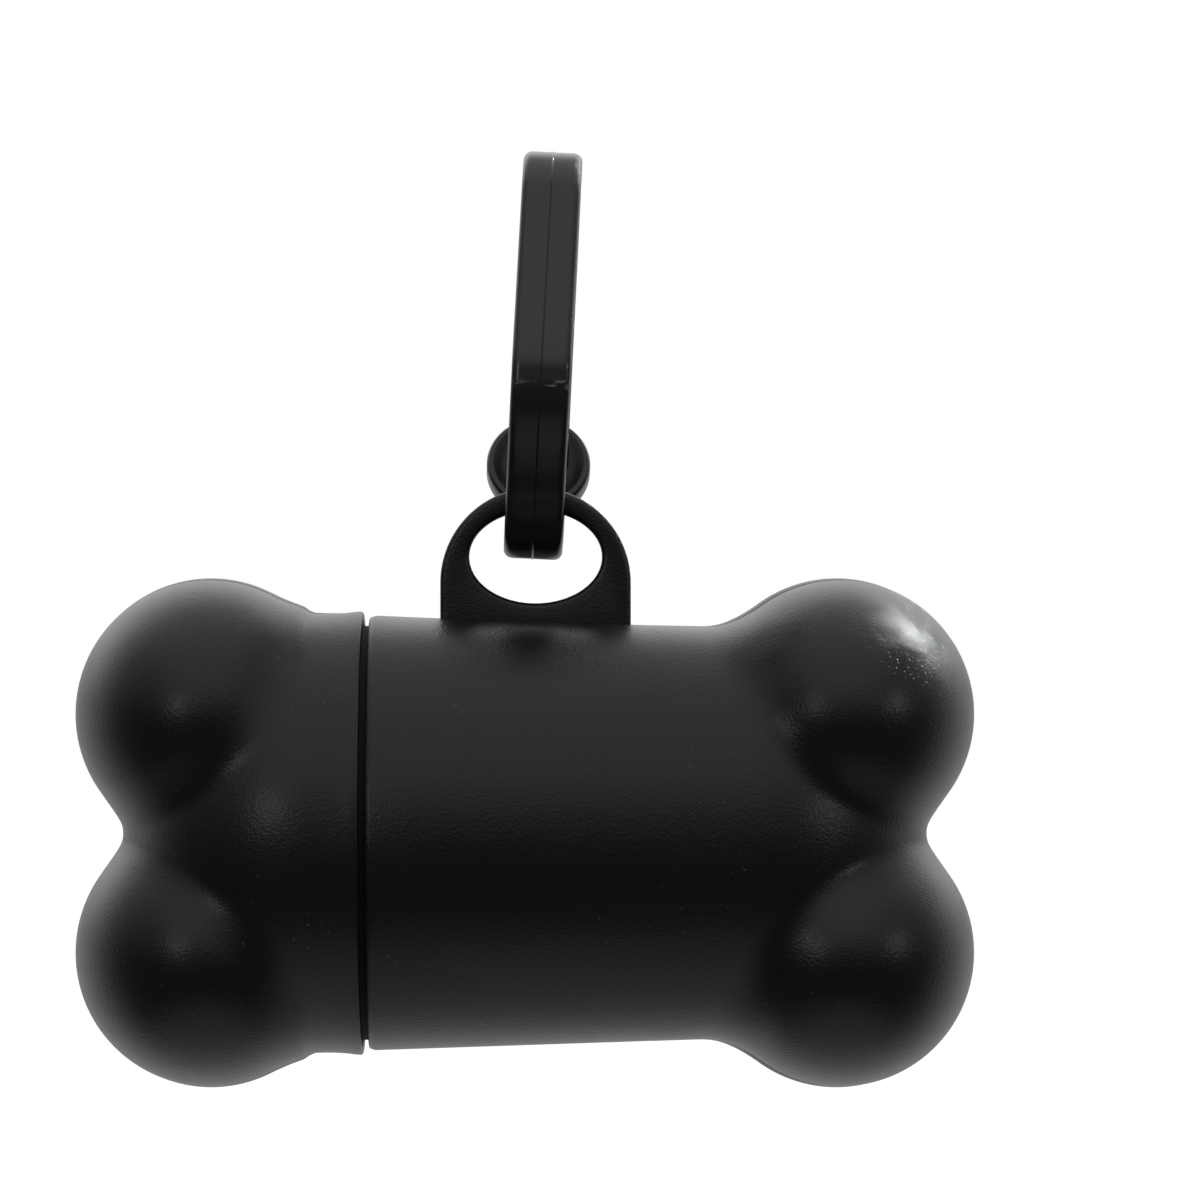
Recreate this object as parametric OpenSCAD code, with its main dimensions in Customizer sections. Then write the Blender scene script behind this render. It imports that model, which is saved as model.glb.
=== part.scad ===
// Bone-shaped dispenser for rolls of dog waste bags, hanging from its snap hook.
// All sizes are in millimetres. X runs along the bone, +Y is the side the bags
// come out of, +Z is up. The bone is drawn about its own middle and the whole
// assembly is then moved so that the point it hangs from is the origin.

/* [Bone] */
// Distance from the bone's middle to a knob's centre, along the bone
knob_x = 29.9; // [28:0.1:33]
// Height of a knob's centre above or below the bone's middle
knob_z = 11.3; // [10.5:0.1:12]
// Radius of a knob seen from the front
knob_r = 12.7; // [12.2:0.1:14]
// Half of a knob's depth from front to back
knob_depth = 18.35; // [16:0.05:20]
// Outer radius of the barrel at its open mouth
mouth_r = 20.6; // [20.4:0.05:21.5]
// How much slimmer the barrel is towards its closed end
barrel_draft = 1.2; // [0.2:0.05:1.6]
// Length of the rounded end of the barrel
dome_l = 19; // [17:0.1:20]
// How far the barrel's end lies in from the ends of the knobs
notch_in = 4.7; // [3:0.1:5.5]
// Width of the soft blend between a knob and the barrel
blend = 3; // [1:0.1:4]
// Wall of the two body shells
wall = 1.3; // [1.15:0.05:1.6]

/* [Cap and neck] */
// Place of the body's mouth along the bone
mouth_x = -14.7; // [-17:0.1:-13.9]
// Gap that shows between the body and the cap
cap_gap = 0.7; // [0.4:0.05:1.2]
// How far the cap's straight part stands out over the body's mouth
cap_step = 0.2; // [0.15:0.05:0.9]
// How far the cap's rim flares out
rim_flare = 0.23; // [0.05:0.01:0.5]
// Wall of the two cap shells
cap_wall = 1.2; // [1.15:0.05:1.5]
// How deep the neck that the cap slides over is let into the body's wall
neck_bite = 0.3; // [0.2:0.05:0.4]
// Wall of the neck
neck_wall = 1.2; // [0.8:0.1:1.5]
// Length of the neck outside the mouth
neck_l = 4.3; // [3:0.1:4.6]
// Running clearance between the neck and the cap
neck_play = 0.1; // [0.05:0.01:0.15]

/* [Hanging lug] */
// Place of the lug along the bone
lug_x = 1; // [-2:0.1:4]
// Width of the lug
lug_w = 18.1; // [16.6:0.1:20]
// Height of the lug's top over the top of the body's mouth
lug_rise = 12.2; // [11.6:0.1:14.4]
// Thickness of the lug
lug_t = 2.6; // [2:0.1:3]
// Width of the hole in the lug
lug_hole_w = 12.6; // [11.5:0.1:14]
// Height of the hole in the lug
lug_hole_h = 8.8; // [8:0.1:9.5]
// Ring of material left over the hole
lug_ring = 2.2; // [1.6:0.1:2.5]

/* [Bag opening] */
// Place of the opening along the bone
open_x = 0.8; // [-1:0.1:2]
// Width of the opening along the bone
open_w = 22.2; // [20:0.1:24]
// Height of the opening
open_h = 29.2; // [27.5:0.1:30]
// Width of the bead round the opening
bead_w = 1.1; // [0.6:0.1:1.6]
// Height of the bead over the barrel
bead_h = 0.6; // [0.3:0.05:1]

/* [Bag roll] */
// Radius of a full roll of bags
roll_r = 14.5; // [12:0.1:14.7]
// Length of the roll
roll_l = 57; // [50:0.5:58]
// Outer radius of the paper core
core_r = 6.5; // [5:0.1:8]
// Wall of the paper core
core_wall = 1; // [0.6:0.1:1.5]
// Clearance between the core and the film wound on it
core_play = 0.05; // [0.02:0.01:0.1]
// Space under the roll, where it lies on the neck
roll_play = 0.35; // [0.3:0.05:0.5]

/* [Bag end] */
// How far the pulled bag stands out of the bone's middle plane
bag_reach = 62; // [50:0.5:70]
// Thickness of the crumpled film
bag_t = 4; // [3:0.1:6]
// Turn of the film's plane about the pull
bag_turn = 20; // [10:1:30]
// Space between the film and the roll it comes from
bag_play = 0.4; // [0.3:0.05:0.8]

/* [Snap hook] */
// Width of the hook's strap, across its plane
hook_w = 5.6; // [4.5:0.1:6]
// Thickness of the hook's strap, in its plane
hook_t = 2.8; // [2.4:0.1:3]
// Lean of the hook's bar backwards from upright, in degrees
hook_lean = 29; // [24:1:32]
// Tilt of the hook to the right, in degrees
hook_tilt = 2.9; // [0:0.1:4]
// Outer diameter of the eye at the arm's end
eye_d = 10; // [9.4:0.1:11]
// Thickness of the eye
eye_t = 2.6; // [2:0.1:3]
// Length of the slot in the eye, along the arm
eye_slot = 5.6; // [5.4:0.1:6]
// Clearance beside the hooked tip in the eye
eye_play = 0.3; // [0.2:0.05:0.4]
// Clearance round the arm's knuckle
knuckle_play = 0.1; // [0.05:0.01:0.15]
// Swing radius of the hooked tip about the arm's knuckle
tip_r = 10.8; // [10.7:0.05:11]

/* [Hidden] */

ring_n = 20;                        // rings over a knobbed end
side_n = 24;                        // facets over half a turn

taper_to = 20.9;                    // where the barrel has lost its draft
taper = barrel_draft / (taper_to - mouth_x);
function barrel_r(x) = mouth_r - taper * (x - mouth_x);
dome_x = knob_x + knob_r - notch_in - dome_l;
cap_dome_l = dome_l - 0.4;          // a little blunter than the other end
cap_dome_x = dome_x + dome_l - cap_dome_l;
rim_x = -mouth_x + cap_gap;         // rim of the cap, measured towards the cap
dome_r = barrel_r(dome_x);
cap_r = mouth_r + cap_step;

neck_r = mouth_r - wall + neck_bite;
neck_bore = neck_r - neck_wall;
neck_root = 2.5;                    // length of the neck inside the mouth
socket_r = neck_r + neck_play;
neck_end_play = 0.4;                // between the neck's end and the cap
socket_l = neck_l + neck_end_play;
roll_z = -(neck_bore - roll_r - roll_play);

lug_top = mouth_r + lug_rise;
lug_hole_z = lug_top - lug_ring - lug_hole_h / 2;
lug_arc_z = lug_top - lug_w / 2;
lug_sink = 0.4;                     // how deep the lug's foot stands in the wall
lug_foot = dome_r - lug_sink;
ring_y = lug_t / 2;                 // centre of the ring that carries the hook
ring_z = lug_top - lug_ring / 2;

open_back = 8;                      // the opening's cut starts here, in front of the middle
open_front = mouth_r + 5;           // and ends here, clear of the barrel
bead_band = open_w / 2 + bead_w + 1;

// The hook is drawn flat: first number up along its bar, second back from the
// bar. The ring of the lug lies at hook_seat.
hook_seat = [3.9, 14.7];
knuckle = [4.4, 21.5];
eye_mid = [14, 26.4];
hook_points = [
    [13.7, 27.7], [14.4, 29.4], [16.2, 30.6], [18.6, 30.5], [20.6, 29.1],
    [21.7, 27.0], [22.5, 24.7], [23.9, 22.5], [25.8, 20.4], [28.1, 18.7],
    [30.6, 17.0], [32.8, 14.6], [34.4, 11.5], [35.1, 8.4], [34.9, 5.6],
    [33.9, 3.2], [32.2, 1.3], [29.9, 0.2], [27.5, 0], [19.5, 0], [11.6, 0],
    [9.3, 0.6], [7.3, 2.0], [5.7, 4.3], [4.0, 7.4], [2.5, 10.2], [0.9, 12.4],
    [0, 14.6], [0.2, 16.8], [1.4, 18.5], [3.2, 19.6]];
arm_points = [[4.4, 21.5], [4.8, 23.1], [6.1, 24.8], [8.0, 25.9], [10.2, 26.3],
              [11.8, 26.4]];
hang_point = [32.6, 4.1];           // inside the crown, where a lead's ring sits

// Outline of the pulled bag beyond the bone: across the film, out of the bone,
// as parts of the reach.
bag_points = [
    [-10.5, 0.32], [-11.5, 0.42], [-9.5, 0.53], [-5, 0.66], [-1.5, 0.77],
    [1.5, 0.89], [3.5, 0.97], [6.5, 1], [10, 0.985], [11, 0.89], [13.5, 0.8],
    [15, 0.71], [14.5, 0.61], [9.5, 0.525], [10.5, 0.47], [11.5, 0.4],
    [9.5, 0.32]];

// ---- shapes shared by several pieces ----

function smooth_max(a, b, k) =
    let (h = max(k - abs(a - b), 0) / k) max(a, b) + h * h * k / 4;

// Distance from the point between two knobs to the far side of one knob.
function knob_hit(d, up, r, depth) =
    let (a = (d.x * d.x + d.z * d.z) / (r * r) + d.y * d.y / (depth * depth),
         b = d.z * up / (r * r), c = up * up / (r * r) - 1, q = b * b - a * c)
    q < 0 ? 0 : max(0, (b + sqrt(q)) / a);

// Distance from the same point to the barrel and its rounded end.
function barrel_hit(d, back, long, r, slope) =
    let (s = norm([d.y, d.z]), a = d.x * d.x / (long * long) + s * s / (r * r),
         b = back * d.x / (long * long), c = back * back / (long * long) - 1,
         t = (-b + sqrt(b * b - a * c)) / a, meet = slope * long * long / r,
         r_meet = r * sqrt(1 - pow(meet / long, 2)))
    back + t * d.x >= meet ? t
        : (r_meet - slope * (back - meet)) / (s + slope * d.x);

function end_hit(d, inset, from_x, long, r, slope) =
    let (up = knob_hit(d, knob_z, knob_r - inset, knob_depth - inset),
         low = knob_hit(d, -knob_z, knob_r - inset, knob_depth - inset),
         mid = barrel_hit(d, knob_x - from_x, long - inset, r - inset, slope))
    smooth_max(smooth_max(up, low, blend), mid, blend);

// Half of one end with its stretch of barrel, on the +Y side, open at the seam
// and at the mouth. stations: place along the bone, outer and inner radius.
module half_shell(stations, from_x, long, r, slope, inset) {
    m = len(stations);
    n = m + ring_n;
    w = side_n + 1;
    last_x = stations[m - 1][0];
    start = atan2(stations[m - 1][1], knob_x - last_x);
    function turn(j) = 180 * j / side_n;
    function cone(i) = start + (180 - start) * (i - m + 1) / (ring_n + 1);
    function ray(i, j) = [-cos(cone(i)), sin(cone(i)) * sin(turn(j)),
                          sin(cone(i)) * cos(turn(j))];
    function spot(i, j, cut) = i < m
        ? [stations[i][0], stations[i][cut > 0 ? 2 : 1] * sin(turn(j)),
           stations[i][cut > 0 ? 2 : 1] * cos(turn(j))]
        : [knob_x, 0, 0]
          + ray(i, j) * end_hit(ray(i, j), cut, from_x, long, r, slope);
    function tip(cut) =
        [knob_x + end_hit([1, 0, 0], cut, from_x, long, r, slope), 0, 0];
    points = concat(
        [for (i = [0:n - 1]) for (j = [0:side_n]) spot(i, j, 0)], [tip(0)],
        [for (i = [0:n - 1]) for (j = [0:side_n]) spot(i, j, inset)],
        [tip(inset)]);
    far = n * w;                    // outer tip
    in0 = far + 1;                  // first inner point
    function o(i, j) = i < n ? i * w + j : far;
    function k(i, j) = i < n ? in0 + i * w + j : in0 + n * w;
    faces = concat(
        [for (i = [0:n - 2]) for (j = [0:side_n - 1]) each [
            [o(i, j), o(i + 1, j + 1), o(i + 1, j)],
            [o(i, j), o(i, j + 1), o(i + 1, j + 1)],
            [k(i, j), k(i + 1, j), k(i + 1, j + 1)],
            [k(i, j), k(i + 1, j + 1), k(i, j + 1)]]],
        [for (j = [0:side_n - 1]) each [
            [o(n - 1, j), o(n - 1, j + 1), far],
            [k(n - 1, j), in0 + n * w, k(n - 1, j + 1)],
            [o(0, j), k(0, j), k(0, j + 1)],
            [o(0, j), k(0, j + 1), o(0, j + 1)]]],
        [for (i = [0:n - 1]) each [
            [o(i, 0), o(i + 1, 0), k(i + 1, 0)],
            [o(i, 0), k(i + 1, 0), k(i, 0)],
            [o(i, side_n), k(i, side_n), k(i + 1, side_n)],
            [o(i, side_n), k(i + 1, side_n), o(i + 1, side_n)]]]);
    polyhedron(points = points, faces = faces, convexity = 6);
}

// Half a ring about the bone's axis, on the +Y side.
module half_tube(r_out, r_in, from_x, to_x) {
    rotate([0, 90, 0])
        rotate_extrude(angle = 180, $fn = 96)
            translate([r_in, from_x]) square([r_out - r_in, to_x - from_x]);
}

function oval(w, h, n) =
    [for (i = [0:n - 1]) [w / 2 * cos(360 * i / n), h / 2 * sin(360 * i / n)]];

module oval_bar(w, h, at, from_y, to_y) {
    translate([at.x, to_y, at.y]) rotate([90, 0, 0])
        linear_extrude(to_y - from_y) polygon(oval(w, h, 48));
}

function unit(v) = v / norm(v);
function curve(a, b, c, d, t) =
    0.5 * (2 * b + (c - a) * t + (2 * a - 5 * b + 4 * c - d) * t * t
           + (3 * b - a - 3 * c + d) * t * t * t);
function smooth_path(p, n) =
    let (e = len(p) - 1)
    [for (i = [0:e - 1]) for (k = [0:n - 1])
        curve(p[max(i - 1, 0)], p[i], p[i + 1], p[min(i + 2, e)], k / n), p[e]];
function beside(p, off) =
    let (e = len(p) - 1)
    [for (i = [0:e])
        let (t = unit(p[min(i + 1, e)] - p[max(i - 1, 0)]))
        p[i] + off * [-t.y, t.x]];
function back_to_front(p) = [for (i = [len(p) - 1:-1:0]) p[i]];

// A flat strap along a path, across its plane by width, about the path's plane.
module strap(path, thick, width) {
    rotate([90, 0, 90])
        linear_extrude(width, center = true)
            polygon([for (q = concat(beside(path, thick / 2),
                                     back_to_front(beside(path, -thick / 2))))
                     [q.y, q.x]]);
}

// A round bar across the hook's plane at a point of its drawing.
module cross_bar(at, r, width) {
    translate([-width / 2, at.y, at.x]) rotate([0, 90, 0])
        cylinder(r = r, h = width, $fn = 48);
}

// From the hook's drawing to its place in the lug.
module hook_place() {
    translate([lug_x, ring_y, ring_z])
        rotate([0, hook_tilt, 0]) rotate([-hook_lean, 0, 0])
            translate([0, -hook_seat.y, -hook_seat.x]) children();
}

hang_flat = [hang_point.x - hook_seat.x, hang_point.y - hook_seat.y];
hang_back = hang_flat.y * cos(hook_lean) + hang_flat.x * sin(hook_lean);
hang_up = hang_flat.x * cos(hook_lean) - hang_flat.y * sin(hook_lean);
hang_at = [lug_x + hang_up * sin(hook_tilt), ring_y + hang_back,
           ring_z + hang_up * cos(hook_tilt)];

module placed() { translate(-hang_at) children(); }

// ---- the body ----

body_stations = [for (x = [mouth_x, 0, 12])
    [x, barrel_r(x), barrel_r(x) - wall]];

module body_half() {
    half_shell(body_stations, dome_x, dome_l, dome_r, taper, wall);
    half_tube(neck_r, neck_bore, mouth_x - neck_l, mouth_x + neck_root);
}

module front_shell() {
    color([0.16, 0.16, 0.17]) placed() difference() {
        union() {
            body_half();
            // flat lug that the hook passes through
            translate([lug_x, lug_t, 0]) rotate([90, 0, 0])
                linear_extrude(lug_t) difference() {
                    union() {
                        translate([0, lug_arc_z]) intersection() {
                            circle(r = lug_w / 2, $fn = 96);
                            translate([-lug_w / 2, lug_foot - lug_arc_z])
                                square([lug_w, lug_w]);
                        }
                        translate([-lug_w / 2, lug_foot])
                            square([lug_w, lug_arc_z - lug_foot]);
                    }
                    translate([0, lug_hole_z])
                        polygon(oval(lug_hole_w, lug_hole_h, 48));
                }
            // bead round the opening
            intersection() {
                rotate([0, 90, 0]) rotate_extrude(angle = 180, $fn = 96)
                    polygon([for (q = [[-bead_band, bead_h], [bead_band, bead_h],
                                       [bead_band, -wall / 2], [-bead_band, -wall / 2]])
                        [barrel_r(open_x + q.x) + q.y, open_x + q.x]]);
                oval_bar(open_w + 2 * bead_w, open_h + 2 * bead_w,
                         [open_x, 0], open_back, open_front);
            }
        }
        oval_bar(open_w, open_h, [open_x, 0], open_back, open_front);
    }
}

module rear_shell() {
    color([0.2, 0.2, 0.21]) placed() mirror([0, 1, 0]) body_half();
}

// ---- the cap ----

cap_stations = [for (q = [[0, 1], [1.6, 0.36], [3.6, 0]])
    [rim_x + q.x, cap_r + rim_flare * q.y, cap_r - cap_wall]];

module cap_half() {
    difference() {
        mirror([1, 0, 0])
            half_shell(cap_stations, cap_dome_x, cap_dome_l, cap_r, 0, cap_wall);
        translate([-rim_x - socket_l + cap_gap, 0, 0]) rotate([0, 90, 0])
            cylinder(r = socket_r, h = socket_l + 1, $fn = 96);
    }
}

module cap_front_shell() {
    color([0.24, 0.24, 0.26]) placed() cap_half();
}

module cap_rear_shell() {
    color([0.28, 0.28, 0.3]) placed() mirror([0, 1, 0]) cap_half();
}

// ---- the roll of bags ----

module tube_along(r_out, r_in, long) {
    translate([-long / 2, 0, roll_z]) rotate([0, 90, 0]) difference() {
        cylinder(r = r_out, h = long, $fn = 96);
        translate([0, 0, -1]) cylinder(r = r_in, h = long + 2, $fn = 96);
    }
}

module bag_roll() {
    color([0.12, 0.13, 0.16]) placed()
        tube_along(roll_r, core_r + core_play, roll_l);
}

module roll_core() {
    color([0.72, 0.62, 0.48]) placed()
        tube_along(core_r, core_r - core_wall, roll_l);
}

// ---- the end of the bag that is being pulled ----

function roll_front(z) =
    sqrt(pow(roll_r + bag_play, 2) - pow(z - roll_z, 2));
// Where both faces of the film clear the roll, at s across the film.
function root(s) =
    let (z = s * cos(bag_turn), dz = bag_t / 2 * sin(bag_turn))
    max(roll_front(z - dz), roll_front(z + dz));

module bag_end() {
    outline = concat([for (s = [7:-1.5:-12.5]) [s, root(s)]],
                     [for (q = bag_points) [q.x, q.y * bag_reach]]);
    color([0.36, 0.33, 0.32]) placed()
        translate([open_x, 0, 0]) rotate([0, -bag_turn, 0])
            rotate([90, 0, 90]) linear_extrude(bag_t, center = true)
                polygon([for (q = outline) [q.y, q.x]]);
}

// ---- the snap hook ----

tip_arc = [for (a = [-4:6:26]) knuckle + tip_r * [cos(a), sin(a)]];

module hook_frame() {
    path = smooth_path(concat(tip_arc, hook_points), 4);
    color([0.1, 0.1, 0.11]) placed() hook_place() difference() {
        union() {
            strap(path, hook_t, hook_w);
            cross_bar(tip_arc[0], hook_t / 2, hook_w);
            cross_bar(hook_points[len(hook_points) - 1], hook_t / 2, hook_w);
        }
        cross_bar(knuckle, hook_t / 2 + knuckle_play, hook_w + 2);
    }
}

module hook_arm() {
    color([0.14, 0.14, 0.15]) placed() hook_place() difference() {
        union() {
            strap(smooth_path(arm_points, 4), hook_t, hook_w);
            cross_bar(knuckle, hook_t / 2, hook_w);
            translate([0, eye_mid.y - eye_t / 2, eye_mid.x]) rotate([-90, 0, 0])
                cylinder(d = eye_d, h = eye_t, $fn = 64);
        }
        // slot that the hooked tip passes through
        translate([0, eye_mid.y - eye_t, eye_mid.x])
            rotate([-90, 0, 0]) linear_extrude(2 * eye_t)
                square([hook_w + 2 * eye_play, eye_slot], center = true);
    }
}

front_shell();
rear_shell();
cap_front_shell();
cap_rear_shell();
bag_roll();
roll_core();
bag_end();
hook_frame();
hook_arm();
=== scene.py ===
import math
import random

import bmesh
import bpy
from mathutils import Matrix, Vector, noise


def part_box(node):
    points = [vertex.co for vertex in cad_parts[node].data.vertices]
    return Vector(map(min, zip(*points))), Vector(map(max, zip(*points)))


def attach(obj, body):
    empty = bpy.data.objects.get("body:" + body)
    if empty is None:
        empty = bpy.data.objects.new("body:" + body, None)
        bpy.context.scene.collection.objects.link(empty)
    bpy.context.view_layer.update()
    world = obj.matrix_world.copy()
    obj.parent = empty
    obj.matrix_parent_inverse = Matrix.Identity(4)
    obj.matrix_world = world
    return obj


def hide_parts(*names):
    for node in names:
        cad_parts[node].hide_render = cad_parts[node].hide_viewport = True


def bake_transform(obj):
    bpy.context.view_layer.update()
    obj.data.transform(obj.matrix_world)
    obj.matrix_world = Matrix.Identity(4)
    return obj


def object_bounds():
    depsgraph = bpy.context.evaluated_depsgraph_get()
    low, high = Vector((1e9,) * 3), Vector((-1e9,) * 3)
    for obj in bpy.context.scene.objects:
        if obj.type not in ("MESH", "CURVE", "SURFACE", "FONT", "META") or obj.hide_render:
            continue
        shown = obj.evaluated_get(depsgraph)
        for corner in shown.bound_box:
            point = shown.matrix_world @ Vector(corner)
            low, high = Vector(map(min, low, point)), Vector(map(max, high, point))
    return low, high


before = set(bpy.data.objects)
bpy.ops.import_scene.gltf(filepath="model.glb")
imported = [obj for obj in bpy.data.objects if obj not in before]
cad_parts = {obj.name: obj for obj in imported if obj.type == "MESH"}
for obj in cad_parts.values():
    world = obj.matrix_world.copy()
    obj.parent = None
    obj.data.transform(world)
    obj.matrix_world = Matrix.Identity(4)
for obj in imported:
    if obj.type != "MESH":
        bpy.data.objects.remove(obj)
cadLow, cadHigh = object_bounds()
print("frame loaded")

# Pieces are modelled in millimetres about the bone's middle, in the seam plane,
# and then moved into the frame, which is in metres.
mm = 0.001
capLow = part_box("cap_rear_shell")[0]
bodyLow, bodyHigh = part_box("rear_shell")
boneMiddle = Vector(((capLow.x + bodyHigh.x) / 2, bodyHigh.y, (bodyLow.z + bodyHigh.z) / 2))
toFrame = Matrix.Translation(boneMiddle) @ Matrix.Scale(mm, 4)


# ---- camera ----

camera = {
    "lens": 270,              # long lens, so the bone is seen nearly square on
    "frameWidth": 113.85,     # what the picture shows at the seam plane
    "lookX": 7.12,            # middle of the picture, from the bone's middle
    "lookZ": 22.11,
}


def makeCamera(values):
    data = bpy.data.cameras.new("camera")
    data.sensor_width = 36
    data.lens = values["lens"]
    distance = values["frameWidth"] * values["lens"] / data.sensor_width
    obj = bpy.data.objects.new("camera", data)
    obj.location = toFrame @ Vector((values["lookX"], -distance, values["lookZ"]))
    obj.rotation_euler = (math.radians(90), 0, 0)
    data.clip_start = 0.05
    data.clip_end = 20
    bpy.context.scene.collection.objects.link(obj)
    bpy.context.scene.camera = obj


makeCamera(camera)
bpy.context.scene.view_settings.view_transform = "Standard"
print("camera placed")


# ---- shader groups and materials ----

def newGroup(name, inputs, outputs):
    group = bpy.data.node_groups.new(name, "ShaderNodeTree")
    for label, value in inputs.items():
        kind = "NodeSocketColor" if isinstance(value, tuple) else "NodeSocketFloat"
        socket = group.interface.new_socket(label, in_out="INPUT", socket_type=kind)
        socket.default_value = value
    for label, kind in outputs.items():
        group.interface.new_socket(label, in_out="OUTPUT", socket_type=kind)
    return group, group.nodes.new("NodeGroupInput"), group.nodes.new("NodeGroupOutput")


def noiseNode(tree, scale, detail, roughness, vector=None):
    node = tree.nodes.new("ShaderNodeTexNoise")
    node.inputs["Scale"].default_value = scale
    node.inputs["Detail"].default_value = detail
    node.inputs["Roughness"].default_value = roughness
    if vector is not None:
        tree.links.new(vector, node.inputs["Vector"])
    return node


def mathNode(tree, operation, a, b=None, clamp=False):
    node = tree.nodes.new("ShaderNodeMath")
    node.operation = operation
    node.use_clamp = clamp
    for socket, value in zip(node.inputs, (a, b)):
        if isinstance(value, (int, float)):
            socket.default_value = value
        elif value is not None:
            tree.links.new(value, socket)
    return node.outputs[0]


def rampNode(tree, factor, low, high):
    node = tree.nodes.new("ShaderNodeMapRange")
    node.interpolation_type = "SMOOTHSTEP"
    node.inputs["From Min"].default_value = low
    node.inputs["From Max"].default_value = high
    tree.links.new(factor, node.inputs["Value"])
    return node.outputs[0]


def colorMix(tree, factor, a, b):
    node = tree.nodes.new("ShaderNodeMix")
    node.data_type = "RGBA"
    for socket, value in ((node.inputs[0], factor), (node.inputs[6], a), (node.inputs[7], b)):
        if isinstance(value, (tuple, float, int)):
            socket.default_value = value
        else:
            tree.links.new(value, socket)
    return node.outputs[2]


def mouldedGroup():
    # moulded plastic: a fine spark-eroded grain, a faint unevenness, dust and rubbed spots
    group, given, result = newGroup(
        "moulded surface",
        {"Color": (0.01, 0.01, 0.01, 1.0), "Grain size mm": 0.3, "Grain depth": 0.1,
         "Roughness": 0.4, "Uneven": 0.05, "Dust": 0.1, "Scuff height": 0.0, "Scuffs": 0.0},
        {"Color": "NodeSocketColor", "Roughness": "NodeSocketFloat", "Normal": "NodeSocketVector"})
    place = group.nodes.new("ShaderNodeTexCoord").outputs["Object"]
    perMetre = mathNode(group, "DIVIDE", 1000.0, given.outputs["Grain size mm"])
    grain = noiseNode(group, 1.0, 2.0, 0.55, place)
    group.links.new(perMetre, grain.inputs["Scale"])
    broad = noiseNode(group, 90.0, 3.0, 0.5, place)
    wave = noiseNode(group, 260.0, 2.0, 0.5, place)
    speck = noiseNode(group, 2600.0, 1.0, 0.5, place)

    dusty = mathNode(group, "MULTIPLY", rampNode(group, speck.outputs["Fac"], 0.72, 0.8),
                     rampNode(group, broad.outputs["Fac"], 0.45, 0.62))
    dusty = mathNode(group, "MULTIPLY", dusty, given.outputs["Dust"])
    parts = group.nodes.new("ShaderNodeSeparateXYZ")
    group.links.new(place, parts.inputs[0])
    off = mathNode(group, "SUBTRACT", parts.outputs["Z"], given.outputs["Scuff height"])
    band = mathNode(group, "SUBTRACT", 1.0, rampNode(group, mathNode(group, "ABSOLUTE", off), 0.0002, 0.0008))
    drawn = group.nodes.new("ShaderNodeMapping")       # the scuffs are drawn out across the strap
    drawn.inputs["Scale"].default_value = (0.3, 1.0, 1.0)
    group.links.new(place, drawn.inputs["Vector"])
    scratch = noiseNode(group, 1500.0, 4.0, 0.7, drawn.outputs[0])
    scuffed = mathNode(group, "MULTIPLY", band, rampNode(group, scratch.outputs["Fac"], 0.53, 0.66))
    scuffed = mathNode(group, "MULTIPLY", scuffed, given.outputs["Scuffs"])
    marked = mathNode(group, "MAXIMUM", dusty, scuffed)
    group.links.new(colorMix(group, marked, given.outputs["Color"], (0.32, 0.3, 0.28, 1.0)),
                    result.inputs["Color"])

    shift = mathNode(group, "SUBTRACT", broad.outputs["Fac"], 0.5)
    shift = mathNode(group, "MULTIPLY", shift, given.outputs["Uneven"])
    fine = mathNode(group, "MULTIPLY", mathNode(group, "SUBTRACT", wave.outputs["Fac"], 0.5), 0.05)
    rough = mathNode(group, "ADD", given.outputs["Roughness"], shift)
    rough = mathNode(group, "ADD", rough, fine, clamp=True)
    group.links.new(rough, result.inputs["Roughness"])

    bump = group.nodes.new("ShaderNodeBump")
    bump.inputs["Distance"].default_value = 0.00005
    group.links.new(given.outputs["Grain depth"], bump.inputs["Strength"])
    group.links.new(grain.outputs["Fac"], bump.inputs["Height"])
    group.links.new(bump.outputs["Normal"], result.inputs["Normal"])
    return group


mouldedSurface = mouldedGroup()


def newMaterial(name):
    material = bpy.data.materials.new(name)
    material.use_nodes = True
    return material, material.node_tree, material.node_tree.nodes["Principled BSDF"]


def mouldedMaterial(name, values):
    material, tree, shader = newMaterial(name)
    surface = tree.nodes.new("ShaderNodeGroup")
    surface.node_tree = mouldedSurface
    for label, value in values["surface"].items():
        surface.inputs[label].default_value = value
    for label in ("Color", "Roughness", "Normal"):
        target = "Base Color" if label == "Color" else label
        tree.links.new(surface.outputs[label], shader.inputs[target])
    shader.inputs["IOR"].default_value = values["ior"]
    return material


shellPlastic = mouldedMaterial("shell plastic", {
    "ior": 1.49,
    "surface": {"Color": (0.003, 0.003, 0.0032, 1.0), "Grain size mm": 0.27, "Grain depth": 0.88,
                "Roughness": 0.33, "Uneven": 0.05, "Dust": 0.12}})
hookPlastic = mouldedMaterial("hook plastic", {
    "ior": 1.6,
    "surface": {"Color": (0.0055, 0.0055, 0.0058, 1.0), "Grain size mm": 0.6, "Grain depth": 0.08,
                "Roughness": 0.27, "Uneven": 0.12, "Dust": 0.1, "Scuffs": 0.45,
                "Scuff height": boneMiddle.z + 42.2 * mm}})
# painted shade: the insides are coloured a little darker than the outside, so the neck in the gap beside the
# cap and the socket look shaded; their higher roughness is a real dulling
insidePlasticPaintedShade = mouldedMaterial("shell inside", {
    "ior": 1.49,
    "surface": {"Color": (0.002, 0.002, 0.0022, 1.0), "Grain size mm": 0.5, "Grain depth": 0.1,
                "Roughness": 0.75, "Uneven": 0.05, "Dust": 0.0}})


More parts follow.
